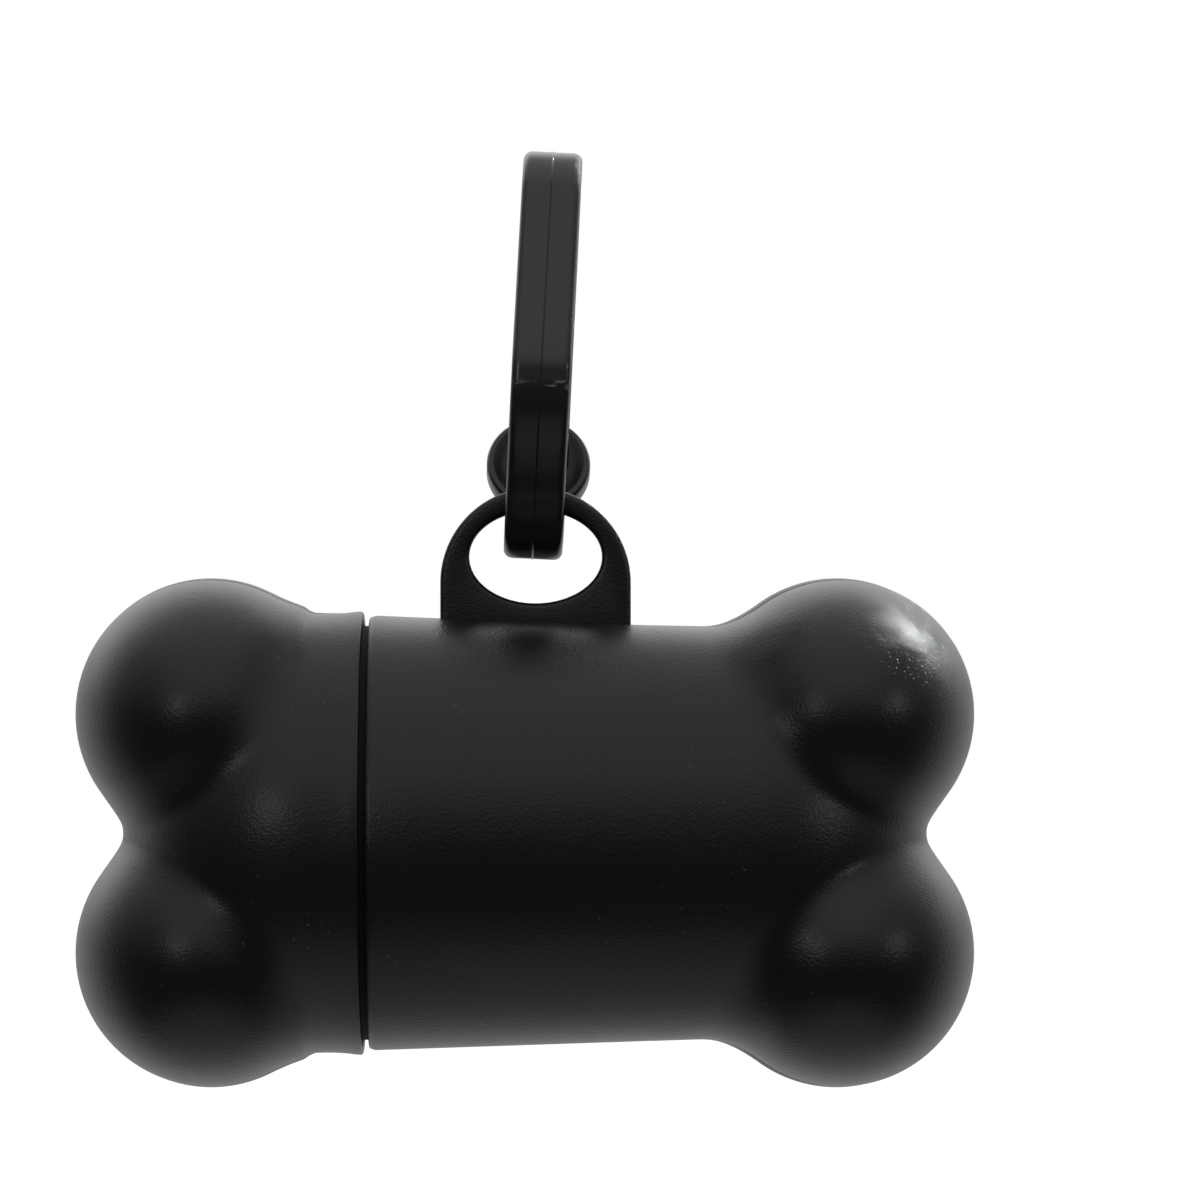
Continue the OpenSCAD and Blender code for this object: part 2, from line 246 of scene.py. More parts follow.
def filmMaterial(name, values):
    # thin glossy film: small sharp creases, and light that comes through where it is one ply
    material, tree, shader = newMaterial(name)
    place = tree.nodes.new("ShaderNodeTexCoord").outputs["Object"]
    crease = tree.nodes.new("ShaderNodeTexVoronoi")
    crease.feature = "DISTANCE_TO_EDGE"
    crease.inputs["Scale"].default_value = values["creaseScale"]
    warp = noiseNode(tree, values["creaseScale"] * 1.4, 2.0, 0.5, place)
    moved = tree.nodes.new("ShaderNodeMixRGB")
    moved.blend_type = "LINEAR_LIGHT"
    moved.inputs[0].default_value = 0.0015
    tree.links.new(place, moved.inputs[1])
    tree.links.new(warp.outputs["Color"], moved.inputs[2])
    tree.links.new(moved.outputs[0], crease.inputs["Vector"])
    fine = noiseNode(tree, values["creaseScale"] * 5, 3.0, 0.6, place)
    height = mathNode(tree, "ADD", rampNode(tree, crease.outputs["Distance"], 0.0, 0.12),
                      mathNode(tree, "MULTIPLY", warp.outputs["Fac"], 0.8))
    bump = tree.nodes.new("ShaderNodeBump")
    bump.inputs["Strength"].default_value = values["creaseDepth"]
    bump.inputs["Distance"].default_value = 0.0002
    tree.links.new(height, bump.inputs["Height"])
    tree.links.new(bump.outputs["Normal"], shader.inputs["Normal"])
    thinAndSheen = tree.nodes.new("ShaderNodeAttribute")
    thinAndSheen.attribute_name = "thinAndSheen"
    # the pale colour of the patches is partly the thin film's own and partly painted light: a painted sheen
    # and painted light through the single ply
    tree.links.new(colorMix(tree, thinAndSheen.outputs["Fac"], values["color"], values["thinAndSheenColor"]),
                   shader.inputs["Base Color"])
    tree.links.new(mathNode(tree, "ADD", values["roughness"],
                            mathNode(tree, "MULTIPLY", fine.outputs["Fac"], 0.15)),
                   shader.inputs["Roughness"])
    shader.inputs["IOR"].default_value = 1.5
    through = tree.nodes.new("ShaderNodeBsdfTranslucent")
    through.inputs["Color"].default_value = values["through"]
    mix = tree.nodes.new("ShaderNodeMixShader")
    share = mathNode(tree, "ADD", values["passes"],
                     mathNode(tree, "MULTIPLY", thinAndSheen.outputs["Fac"], values["thinPasses"]))
    tree.links.new(share, mix.inputs[0])
    tree.links.new(shader.outputs[0], mix.inputs[1])
    tree.links.new(through.outputs[0], mix.inputs[2])
    tree.links.new(mix.outputs[0], tree.nodes["Material Output"].inputs["Surface"])
    return material


def rollMaterial(values):
    # wound film: glossy, with fine lines round the roll and slack wrinkles along it
    material, tree, shader = newMaterial("wound film")
    place = tree.nodes.new("ShaderNodeTexCoord").outputs["Object"]
    stretched = tree.nodes.new("ShaderNodeMapping")
    stretched.inputs["Scale"].default_value = (1.0, 0.25, 0.25)
    tree.links.new(place, stretched.inputs["Vector"])
    lines = noiseNode(tree, 900.0, 2.0, 0.6, stretched.outputs[0])
    slack = noiseNode(tree, 160.0, 3.0, 0.5, place)
    bump = tree.nodes.new("ShaderNodeBump")
    bump.inputs["Strength"].default_value = values["wrinkle"]
    bump.inputs["Distance"].default_value = 0.0002
    tree.links.new(mathNode(tree, "ADD", slack.outputs["Fac"],
                            mathNode(tree, "MULTIPLY", lines.outputs["Fac"], 0.12)),
                   bump.inputs["Height"])
    tree.links.new(bump.outputs["Normal"], shader.inputs["Normal"])
    tree.links.new(colorMix(tree, slack.outputs["Fac"], values["dark"], values["pale"]),
                   shader.inputs["Base Color"])
    shader.inputs["Roughness"].default_value = values["roughness"]
    return material


def paperMaterial(values):
    # grey-brown board with fibres along the strip
    material, tree, shader = newMaterial("core paper")
    place = tree.nodes.new("ShaderNodeTexCoord").outputs["Object"]
    stretched = tree.nodes.new("ShaderNodeMapping")
    stretched.inputs["Scale"].default_value = (0.3, 1.0, 1.0)
    tree.links.new(place, stretched.inputs["Vector"])
    fibre = noiseNode(tree, 1500.0, 4.0, 0.65, stretched.outputs[0])
    tree.links.new(colorMix(tree, fibre.outputs["Fac"], values["dark"], values["pale"]),
                   shader.inputs["Base Color"])
    bump = tree.nodes.new("ShaderNodeBump")
    bump.inputs["Strength"].default_value = 0.3
    bump.inputs["Distance"].default_value = 0.0001
    tree.links.new(fibre.outputs["Fac"], bump.inputs["Height"])
    tree.links.new(bump.outputs["Normal"], shader.inputs["Normal"])
    shader.inputs["Roughness"].default_value = values["roughness"]
    return material


# the pale colour is partly the film's own and partly painted: a sheen and the light through the single ply
filmPlastic = filmMaterial("bag film", {
    "color": (0.026, 0.0235, 0.0225, 1.0), "thinAndSheenColor": (0.46, 0.42, 0.4, 1.0),
    "through": (0.4, 0.34, 0.31, 1.0), "passes": 0.03, "thinPasses": 0.3,
    "creaseScale": 260.0, "creaseDepth": 0.35, "roughness": 0.2})
rollPlastic = rollMaterial({"dark": (0.006, 0.007, 0.009, 1.0), "pale": (0.014, 0.016, 0.02, 1.0),
                            "wrinkle": 0.25, "roughness": 0.24})
corePaper = paperMaterial({"dark": (0.26, 0.2, 0.14, 1.0), "pale": (0.5, 0.42, 0.32, 1.0),
                           "roughness": 0.85})


# ---- shaping tools ----

def edgesWithin(verts, edges):
    inside = set(verts)
    return [e for e in edges if e.verts[0] in inside and e.verts[1] in inside]


def extrudeTo(bm, edges, moveVert):
    # one more ring on an open edge loop; every new vertex is then placed by moveVert
    made = bmesh.ops.extrude_edge_only(bm, edges=edges)["geom"]
    verts = [g for g in made if isinstance(g, bmesh.types.BMVert)]
    for vert in verts:
        vert.co = moveVert(vert)
    return edgesWithin(verts, [g for g in made if isinstance(g, bmesh.types.BMEdge)])


def meshFrom(bm, name):
    mesh = bpy.data.meshes.new(name)
    bm.to_mesh(mesh)
    return mesh


def combine(bm, other, operation):
    # exact boolean of two closed shapes, in millimetres
    base = bpy.data.objects.new("base", meshFrom(bm, "base"))
    tool = bpy.data.objects.new("tool", meshFrom(other, "tool"))
    for obj in (base, tool):
        bpy.context.scene.collection.objects.link(obj)
    step = base.modifiers.new("combine", "BOOLEAN")
    step.object = tool
    step.operation = operation
    step.solver = "EXACT"
    graph = bpy.context.evaluated_depsgraph_get()
    mesh = bpy.data.meshes.new_from_object(base.evaluated_get(graph))
    made = bmesh.new()
    made.from_mesh(mesh)
    for obj in (base, tool):
        old = obj.data
        bpy.data.objects.remove(obj)
        bpy.data.meshes.remove(old)
    bpy.data.meshes.remove(mesh)
    bm.free()
    other.free()
    return made


def halfOf(bm, side):
    # keeps the part on one side of the seam plane and closes it there
    everything = bm.verts[:] + bm.edges[:] + bm.faces[:]
    cut = bmesh.ops.bisect_plane(bm, geom=everything, dist=1e-4, plane_co=(0, 0, 0),
                                 plane_no=(0, side, 0), clear_inner=True)["geom_cut"]
    rim = [g for g in cut if isinstance(g, bmesh.types.BMEdge)]
    bmesh.ops.triangle_fill(bm, use_beauty=True, use_dissolve=False, edges=rim, normal=(0, side, 0))
    return rim


def roundEdges(bm, edges, width, segments=2):
    bmesh.ops.bevel(bm, geom=edges, offset=width, segments=segments, profile=0.5,
                    affect="EDGES", material=-1, clamp_overlap=True)


def sharpEdges(bm, degrees):
    limit = math.radians(degrees)
    return [e for e in bm.edges if len(e.link_faces) == 2 and e.calc_face_angle(0) > limit]


def makePiece(bm, name, body, nodes, material, place=toFrame, smooth=32):
    bmesh.ops.transform(bm, matrix=place, verts=bm.verts)
    mesh = meshFrom(bm, name)
    bm.free()
    mesh.shade_smooth()
    mesh.set_sharp_from_angle(angle=math.radians(smooth))
    mesh.materials.append(material)
    obj = bpy.data.objects.new(name, mesh)
    bpy.context.scene.collection.objects.link(obj)
    if body:
        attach(obj, body)
    if nodes:
        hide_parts(*nodes)
    print("made", name)
    return obj


# ---- the bone's two hollow ends ----

bone = {
    "knobX": 29.9, "knobZ": 11.3, "knobRadius": 12.7, "knobDepth": 18.35,
    "mouthRadius": 20.6, "draft": 1.2, "draftTo": 20.9,
    "domeLength": 19.0, "notchIn": 4.7, "blend": 3.0,
    "wall": 1.3, "mouthX": -14.7, "proud": 0.008, "around": 160, "along": 120,
}
taper = bone["draft"] / (bone["draftTo"] - bone["mouthX"])
domeX = bone["knobX"] + bone["knobRadius"] - bone["notchIn"] - bone["domeLength"]


def barrelRadius(x):
    return bone["mouthRadius"] - taper * (x - bone["mouthX"])


def smoothMax(a, b, width):
    near = max(width - abs(a - b), 0) / width
    return max(a, b) + near * near * width / 4


def knobReach(d, up, radius, depth):
    a = (d.x * d.x + d.z * d.z) / radius ** 2 + d.y * d.y / depth ** 2
    b = d.z * up / radius ** 2
    c = up * up / radius ** 2 - 1
    q = b * b - a * c
    return 0 if q < 0 else max(0, (b + math.sqrt(q)) / a)


def barrelReach(d, back, length, radius, slope):
    side = math.hypot(d.y, d.z)
    a = (d.x / length) ** 2 + (side / radius) ** 2
    b = back * d.x / length ** 2
    c = (back / length) ** 2 - 1
    t = (-b + math.sqrt(b * b - a * c)) / a
    meet = slope * length * length / radius
    meetRadius = radius * math.sqrt(1 - (meet / length) ** 2)
    if back + t * d.x >= meet:
        return t
    return (meetRadius - slope * (back - meet)) / (side + slope * d.x)


def endReach(d, inset, values):
    knob = (bone["knobRadius"] - inset, bone["knobDepth"] - inset)
    upper = knobReach(d, bone["knobZ"], *knob)
    lower = knobReach(d, -bone["knobZ"], *knob)
    middle = barrelReach(d, bone["knobX"] - values["domeX"], values["domeLength"] - inset,
                         values["radius"] - inset, values["slope"])
    clear = bone["knobX"] + d.x * middle - values["loopX"]      # the blend fades out towards the loop
    blend = bone["blend"] * max(0.01, min(1, clear / 2.5))
    return smoothMax(smoothMax(upper, lower, bone["blend"]), middle, blend)


def addEnd(bm, values, inset, lastX, lastRadius):
    # a sphere about the knobs' middle, cut off behind, whose points are pushed out to
    # the surface; returns its open loop, which lies on the barrel at lastX
    reachBack = Vector((lastX - bone["knobX"], 0, lastRadius)).normalized()
    made = bmesh.ops.create_uvsphere(bm, u_segments=bone["around"], v_segments=bone["along"],
                                     radius=1, matrix=Matrix.Rotation(math.radians(90), 4, "Y"))
    verts = made["verts"]
    edges = list({e for v in verts for e in v.link_edges})
    faces = list({f for v in verts for f in v.link_faces})
    cut = bmesh.ops.bisect_plane(bm, geom=verts + edges + faces, dist=1e-5,
                                 plane_co=(reachBack.x, 0, 0), plane_no=(1, 0, 0),
                                 clear_inner=True)["geom_cut"]
    loop = [g for g in cut if isinstance(g, bmesh.types.BMEdge)]
    loopVerts = {v for e in loop for v in e.verts}
    verts = [v for v in verts if v.is_valid] + list(loopVerts)
    for vert in set(verts):
        if vert in loopVerts:
            turn = math.atan2(vert.co.z, vert.co.y)
            vert.co = (lastX, lastRadius * math.cos(turn), lastRadius * math.sin(turn))
        else:
            d = vert.co.normalized()
            vert.co = Vector((bone["knobX"], 0, 0)) + d * endReach(d, inset, values)
    return loop


def runStations(bm, loop, stations):
    for x, radius in stations:
        def onRing(vert):
            turn = math.atan2(vert.co.z, vert.co.y)
            return Vector((x, radius * math.cos(turn), radius * math.sin(turn)))
        loop = extrudeTo(bm, loop, onRing)
    return loop


def hollowEnd(values, stations):
    # outer skin, then the stations of the mouth, then the inner skin, in one closed shape
    bm = bmesh.new()
    outerX = values["loopX"]
    outerRadius = values["radiusAt"](outerX)
    loop = addEnd(bm, values, 0, outerX, outerRadius)
    runStations(bm, loop, stations)
    addEnd(bm, values, values["wall"], outerX, outerRadius - values["wall"])
    bmesh.ops.remove_doubles(bm, verts=bm.verts, dist=1e-3)
    bmesh.ops.recalc_face_normals(bm, faces=bm.faces)
    return bm


neck = {"bite": 0.3, "wall": 1.2, "length": 4.3, "root": 2.5, "chamferLong": 0.55, "chamferIn": 0.25}


def bodyStations():
    mouth = bone["mouthX"]
    outer = barrelRadius(mouth)
    inner = outer - bone["wall"]
    neckRadius = inner + neck["bite"]
    bore = neckRadius - neck["wall"]
    tip = mouth - neck["length"]
    return [
        (6, barrelRadius(6)), (0, barrelRadius(0)), (-7, barrelRadius(-7)),
        (mouth + neck["chamferLong"], barrelRadius(mouth + neck["chamferLong"])),
        (mouth + 0.12, outer - neck["chamferIn"] * 0.55), (mouth, outer - neck["chamferIn"]),
        (mouth, neckRadius), (tip + 0.3, neckRadius), (tip, neckRadius - 0.3),
        (tip, bore), (mouth + neck["root"], bore),
        (mouth + neck["root"], barrelRadius(mouth + neck["root"]) - bone["wall"]),
        (0, barrelRadius(0) - bone["wall"]), (12, barrelRadius(12) - bone["wall"]),
    ]


bodyEnd = {"domeX": domeX, "domeLength": bone["domeLength"], "radius": barrelRadius(domeX),
           "slope": taper, "wall": bone["wall"], "radiusAt": barrelRadius, "loopX": 12}

cap = {"gap": 0.6, "step": 0.2, "flare": 0.23, "wall": 1.2, "play": 0.1, "endPlay": 0.4,
       "blunter": 0.4}
capRadius = bone["mouthRadius"] + cap["step"]
rimX = -bone["mouthX"] + cap["gap"]
capEnd = {"domeX": domeX + cap["blunter"], "domeLength": bone["domeLength"] - cap["blunter"],
          "radius": capRadius, "slope": 0, "wall": cap["wall"], "radiusAt": lambda x: capRadius,
          "loopX": rimX + 3.6}


def capStations():
    socket = bone["mouthRadius"] - bone["wall"] + neck["bite"] + cap["play"]
    inner = capRadius - cap["wall"]
    deep = rimX + neck["length"] + cap["endPlay"] - cap["gap"]
    return [
        (rimX + 2.6, capRadius + cap["flare"] * 0.1), (rimX + 1.6, capRadius + cap["flare"] * 0.36),
        (rimX + 0.8, capRadius + cap["flare"] * 0.8), (rimX + 0.22, capRadius + cap["flare"]),
        (rimX + 0.07, capRadius + cap["flare"] - 0.07), (rimX, capRadius + cap["flare"] - 0.22),
        (rimX, socket + 0.12), (rimX + 0.12, socket),
        (deep, socket), (deep, inner), (rimX + 3.6, inner),
    ]


seamWidth = 0.07          # rounding of each half's edge, which leaves a hairline seam


def makeHalf(whole, side, name):
    rim = halfOf(whole, side)
    roundEdges(whole, [e for e in rim if e.is_valid], seamWidth, 1)
    bmesh.ops.recalc_face_normals(whole, faces=whole.faces)
    return whole


def raiseKnobs(bm, start, length, slide):
    # the front half's knobs stand a little proud of the rear ones and lie further in; they
    # fall away towards the seam, which shows as a pale strip beside a fine line
    for vert in bm.verts:
        share = min(max((abs(vert.co.x) - start) / length, 0), 1)
        share *= share * (3 - 2 * share) * min(0.15 + vert.co.y / 0.9, 1)
        vert.co.z *= 1 + bone["proud"] * share
        vert.co.x -= math.copysign(slide, vert.co.x) * share


bodyWhole = hollowEnd(bodyEnd, bodyStations())
rearBody = makeHalf(bodyWhole.copy(), -1, "rear")
frontBody = makeHalf(bodyWhole.copy(), 1, "front")
raiseKnobs(frontBody, 8, 16, 0.35)
bodyWhole.free()
print("body halves shaped")

capWhole = hollowEnd(capEnd, capStations())
bmesh.ops.scale(capWhole, vec=(-1, 1, 1), verts=capWhole.verts)
bmesh.ops.recalc_face_normals(capWhole, faces=capWhole.faces)
rearCap = makeHalf(capWhole.copy(), -1, "rear cap")
frontCap = makeHalf(capWhole.copy(), 1, "front cap")
raiseKnobs(frontCap, rimX + 0.5, 6, 0.1)
capWhole.free()
print("cap halves shaped")


# ---- the bag opening and its bead ----

opening = {"x": 0.8, "width": 22.2, "height": 29.2, "beadWidth": 1.1, "beadHeight": 0.6,
           "around": 144}
# the bead's section: out from the opening's edge, and height over the barrel
beadSection = [(0.0, -1.2), (0.0, 0.2), (0.08, 0.4), (0.28, 0.55), (0.55, 0.6), (0.82, 0.52),
               (1.0, 0.32), (1.1, 0.05), (1.12, -0.5), (0.8, -1.2)]


def ovalPoint(turn, out):
    across = opening["width"] / 2 + out
    up = opening["height"] / 2 + out
    return opening["x"] + across * math.cos(turn), up * math.sin(turn)


def makeBead():
    bm = bmesh.new()
    which = bm.verts.layers.float.new("turn")
    made = bmesh.ops.create_circle(bm, segments=opening["around"], radius=10)
    for vert in made["verts"]:
        vert[which] = math.atan2(vert.co.y, vert.co.x)

    def onSection(out, height):
        def move(vert):
            x, z = ovalPoint(vert[which], out)
            return Vector((x, math.sqrt((barrelRadius(x) + height) ** 2 - z * z), z))
        return move

    for vert in made["verts"]:
        vert.co = onSection(*beadSection[0])(vert)
    loop = bm.edges[:]
    for out, height in beadSection[1:] + beadSection[:1]:
        loop = extrudeTo(bm, loop, onSection(out, height))
    bmesh.ops.remove_doubles(bm, verts=bm.verts, dist=1e-4)
    bmesh.ops.recalc_face_normals(bm, faces=bm.faces)
    return bm


def makeOpeningCutter():
    bm = bmesh.new()
    made = bmesh.ops.create_circle(bm, segments=opening["around"], radius=1, cap_ends=True)
    for vert in made["verts"]:
        x, z = ovalPoint(math.atan2(vert.co.y, vert.co.x), opening["beadWidth"] / 2)
        vert.co = (x, 8, z)
    top = bmesh.ops.extrude_face_region(bm, geom=bm.faces[:])["geom"]
    bmesh.ops.translate(bm, vec=(0, 18, 0), verts=[g for g in top if isinstance(g, bmesh.types.BMVert)])
    bmesh.ops.recalc_face_normals(bm, faces=bm.faces)
    return bm


# ---- the lug ----

lug = {"x": 1.0, "width": 18.1, "rise": 12.2, "thick": 2.6, "holeWidth": 12.6, "holeHeight": 8.8,
       "ring": 2.2, "round": 0.5, "around": 128}


def makeLug():
    top = bone["mouthRadius"] + lug["rise"]
    radius = lug["width"] / 2
    middle = top - radius
    foot = barrelRadius(lug["x"]) - 0.9
    holeZ = top - lug["ring"] - lug["holeHeight"] / 2
    bm = bmesh.new()
    which = bm.verts.layers.float.new("turn")
    made = bmesh.ops.create_circle(bm, segments=lug["around"], radius=1)
    for vert in made["verts"]:
        turn = math.atan2(vert.co.y, vert.co.x)
        vert[which] = turn
        c, s = math.cos(turn), math.sin(turn)
        out = radius
        if s < 0:      # straight sides and foot under the arc
            out = min(radius / max(abs(c), 1e-6), (middle - foot) / -s)
        vert.co = (lug["x"] + out * c, 0, middle + out * s)

    def toHole(vert):
        turn = vert[which]
        return Vector((lug["x"] + lug["holeWidth"] / 2 * math.cos(turn), 0,
                       holeZ + lug["holeHeight"] / 2 * math.sin(turn)))

    extrudeTo(bm, bm.edges[:], toHole)
    back = bmesh.ops.extrude_face_region(bm, geom=bm.faces[:])["geom"]
    bmesh.ops.translate(bm, vec=(0, lug["thick"], 0),
                        verts=[g for g in back if isinstance(g, bmesh.types.BMVert)])
    bmesh.ops.recalc_face_normals(bm, faces=bm.faces)
    roundEdges(bm, sharpEdges(bm, 60), lug["round"], 3)
    return bm


frontBody = combine(frontBody, makeOpeningCutter(), "DIFFERENCE")
frontBody = combine(frontBody, makeBead(), "UNION")
frontBody = combine(frontBody, makeLug(), "UNION")
print("opening, bead and lug joined")

def makeShell(bm, name, body, node, inner):
    # the neck, the socket and the insides are duller than the outside, and their colour is a little darker:
    # painted shade, for the dark gap beside the cap
    for face in bm.faces:
        middle = face.calc_center_median()
        if inner(middle, math.hypot(middle.y, middle.z)):
            face.material_index = 1
    obj = makePiece(bm, name, body, [node], shellPlastic)
    obj.data.materials.append(insidePlasticPaintedShade)


def onNeck(spot, radius):
    return spot.x < bone["mouthX"] - 0.01 or spot.x < 12 and radius < barrelRadius(spot.x) - 0.6


def inSocket(spot, radius):
    return spot.x > -rimX - 5 and radius < capRadius - 0.6


makeShell(rearBody, "rear_body", "bone", "rear_shell", onNeck)
makeShell(frontBody, "front_body", "bone", "front_shell", onNeck)
makeShell(rearCap, "rear_cap", "cap", "cap_rear_shell", inSocket)
makeShell(frontCap, "front_cap", "cap", "cap_front_shell", inSocket)


# ---- the snap hook: one strap, drawn in its side view ----

# Points of the strap's middle line are (up, back) in the hook's own drawing, in millimetres.
hook = {
    "width": 5.6, "thick": 2.8, "corner": 0.8, "groove": 0.45, "ridge": 0.08,
    "lean": 29, "tilt": 2.9, "seat": (3.9, 14.7), "ringY": 1.3, "ringZ": 31.7,
    "knuckle": (4.4, 21.5), "tipReach": 10.8, "tipTurns": range(-4, 27, 6), "steps": 6,
    "eyeMiddle": (14, 26.4), "eyeRadius": 5, "eyeThick": 2.6, "slotWide": 5.74, "slotHigh": 3.4,
    "blendFrom": (2.9, 19.2), "blendTo": (5.0, 23.4),
}
crownPoints = [
    (13.7, 27.7), (14.4, 29.4), (16.2, 30.6), (18.6, 30.5), (20.6, 29.1), (21.7, 27.0),
    (22.5, 24.7), (23.9, 22.5), (25.8, 20.4), (28.1, 18.7), (30.6, 17.0), (32.8, 14.6),
    (34.4, 11.5), (35.1, 8.4), (34.9, 5.6), (33.9, 3.2), (32.2, 1.3), (29.9, 0.2), (27.5, 0),
    (19.5, 0), (11.6, 0), (9.3, 0.6), (7.3, 2.0), (5.7, 4.3), (4.0, 7.4), (2.5, 10.2),
    (0.9, 12.4), (0, 14.6), (0.2, 16.8), (1.4, 18.5), (3.2, 19.6),
]
armPoints = [(3.2, 19.6), (4.4, 21.5), (4.8, 23.1), (6.1, 24.8), (8.0, 25.9), (10.2, 26.3),
             (11.8, 26.4)]
toHook = (toFrame @ Matrix.Translation((lug["x"], hook["ringY"], hook["ringZ"]))
          @ Matrix.Rotation(math.radians(hook["tilt"]), 4, "Y")
          @ Matrix.Rotation(math.radians(-hook["lean"]), 4, "X")
          @ Matrix.Translation((0, -hook["seat"][1], -hook["seat"][0])))


def smoothPath(points, steps):
    points = [Vector(p) for p in points]
    path = []
    for i in range(len(points) - 1):
        a, b = points[max(i - 1, 0)], points[i]
        c, d = points[i + 1], points[min(i + 2, len(points) - 1)]
        for k in range(steps):
            t = k / steps
            path.append(0.5 * (2 * b + (c - a) * t + (2 * a - 5 * b + 4 * c - d) * t ** 2
                               + (3 * b - a - 3 * c + d) * t ** 3))
    return path + [points[-1]]


def strapSection(groove, halfWide, halfThick, ridge):
    # one quarter from the middle of the side to the middle of the outer face, mirrored round
    corner = min(hook["corner"], halfThick * 0.57)
    lip = halfThick - corner
    quarter = [(halfWide - groove, 0), (halfWide - groove * 0.93, lip * 0.45),
               (halfWide - groove * 0.35, lip * 0.75), (halfWide - groove * 0.04, lip)]
    for turn in (22.5, 45, 67.5, 90):
        quarter.append((halfWide - corner + corner * math.cos(math.radians(turn)),
                        lip + corner * math.sin(math.radians(turn))))
    quarter += [(halfWide * 0.4, halfThick), (0.09, halfThick), (0, halfThick + ridge)]
    half = quarter + [(-x, t) for x, t in reversed(quarter[:-1])]
    return half + [(x, -t) for x, t in reversed(half[1:-1])]


def makeStrap(points, grooveAt, roundStart):
    path = smoothPath(points, hook["steps"])
    halfWide, halfThick = hook["width"] / 2, hook["thick"] / 2
    rings = []
    ahead = (path[1] - path[0]).normalized()
    for turn in (88, 72, 56, 40, 25, 12) if roundStart else ():
        s, c = math.sin(math.radians(turn)), math.cos(math.radians(turn))
        rings.append((path[0] - ahead * halfThick * s, ahead, grooveAt(0) * c,
                      halfWide - 0.9 * (1 - c), halfThick * max(c, 0.05)))
    for i, place in enumerate(path):
        ahead = (path[min(i + 1, len(path) - 1)] - path[max(i - 1, 0)]).normalized()
        rings.append((place, ahead, grooveAt(i / (len(path) - 1)), halfWide, halfThick))

    def ringPoint(ring, k):
        place, ahead, groove, wide, thick = ring
        across, off = strapSection(groove, wide, thick, hook["ridge"])[k]
        spot = place + Vector((-ahead.y, ahead.x)) * off
        return Vector((across, spot.y, spot.x))

    bm = bmesh.new()
    which = bm.verts.layers.int.new("which")
    count = len(strapSection(0, halfWide, halfThick, 0))
    bmesh.ops.create_circle(bm, segments=count, radius=1, cap_ends=True)
    bm.verts.ensure_lookup_table()
    for k, vert in enumerate(bm.verts):
        vert[which] = k
        vert.co = ringPoint(rings[0], k)
    loop = bm.edges[:]
    for ring in rings[1:]:
        loop = extrudeTo(bm, loop, lambda vert: ringPoint(ring, vert[which]))
    bmesh.ops.holes_fill(bm, edges=loop, sides=0)
    bmesh.ops.recalc_face_normals(bm, faces=bm.faces)
    return bm


def crownGroove(share):
    # side grooves on the hooked tip, the S and the big arc, none on the straight bar
    return hook["groove"] * between([(0, 1), (0.52, 1), (0.56, 0), (0.72, 0), (0.75, 0.8),
                                     (0.94, 0.8), (1, 0)], share)


def between(stops, t):
    # the value at t of a line through (place, value) stops
    for (a, low), (b, high) in zip(stops, stops[1:]):
        if t <= b:
            return low + (high - low) * max(0, (t - a) / (b - a))
    return stops[-1][1]


def makeEye():
    # a turned disc with a raised rim, about the hook's back direction
    profile = [(0.05, 1.2), (3.4, 1.2), (3.95, 1.22), (4.25, 1.28), (4.5, 1.3), (4.8, 1.2),
               (4.95, 1.0), (5.0, 0.8)]
    profile += [(r, -h) for r, h in reversed(profile)]
    bm = bmesh.new()
    made = bmesh.ops.create_circle(bm, segments=96, radius=1, cap_ends=True)
    way = bm.verts.layers.float.new("turn")
    bm.verts.ensure_lookup_table()
    for vert in bm.verts:
        vert[way] = math.atan2(vert.co.y, vert.co.x)

    def onProfile(radius, height):
        up, back = hook["eyeMiddle"]
        return lambda vert: Vector((radius * math.cos(vert[way]), back + height,
                                    up + radius * math.sin(vert[way])))

    for vert in bm.verts:
        vert.co = onProfile(*profile[0])(vert)
    loop = bm.edges[:]
    for radius, height in profile[1:]:
        loop = extrudeTo(bm, loop, onProfile(radius, height))
    bmesh.ops.holes_fill(bm, edges=loop, sides=0)
    bmesh.ops.recalc_face_normals(bm, faces=bm.faces)
    return bm


def makeSlotCutter():
    # the slot slopes as the hooked tip does where it goes through
    back = hook["eyeMiddle"][1]
    slope = math.asin((back - hook["knuckle"][1]) / hook["tipReach"])
    up = hook["knuckle"][0] + hook["tipReach"] * math.cos(slope)
    bm = bmesh.new()
    bmesh.ops.create_cube(bm, size=1)
    bmesh.ops.scale(bm, vec=(hook["slotWide"], 9, hook["slotHigh"]), verts=bm.verts)
    roundEdges(bm, [e for e in bm.edges if abs(e.verts[0].co.y - e.verts[1].co.y) > 1], 0.95, 5)
    bmesh.ops.transform(bm, matrix=Matrix.Translation((0, back, up)) @ Matrix.Rotation(-slope, 4, "X"),
                        verts=bm.verts)
    return bm


tipArc = [(hook["knuckle"][0] + hook["tipReach"] * math.cos(math.radians(turn)),
           hook["knuckle"][1] + hook["tipReach"] * math.sin(math.radians(turn)))
          for turn in hook["tipTurns"]]
crown = makeStrap(tipArc + crownPoints, crownGroove, True)
arm = makeStrap(armPoints, lambda share: between([(0, 0), (0.3, 0), (0.5, 0.18), (1, 0.18)], share),
                False)
arm = combine(arm, makeEye(), "UNION")
arm = combine(arm, makeSlotCutter(), "DIFFERENCE")
roundEdges(arm, [e for e in sharpEdges(arm, 60) if (e.verts[0].co.z + e.verts[1].co.z) > 22], 0.12, 1)
makePiece(crown, "hook_crown", "hook", ["hook_frame"], hookPlastic, toHook)
armPiece = makePiece(arm, "hook_spring_arm", None, ["hook_arm"], hookPlastic, toHook)
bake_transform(armPiece)
print("hook made")


# ---- the roll of bags and its core ----

roll = {"radius": 14.5, "length": 57, "z": -3.55, "coreRadius": 6.5, "coreWall": 1.0,
        "layer": 0.9, "layerDeep": 0.35, "around": 120}


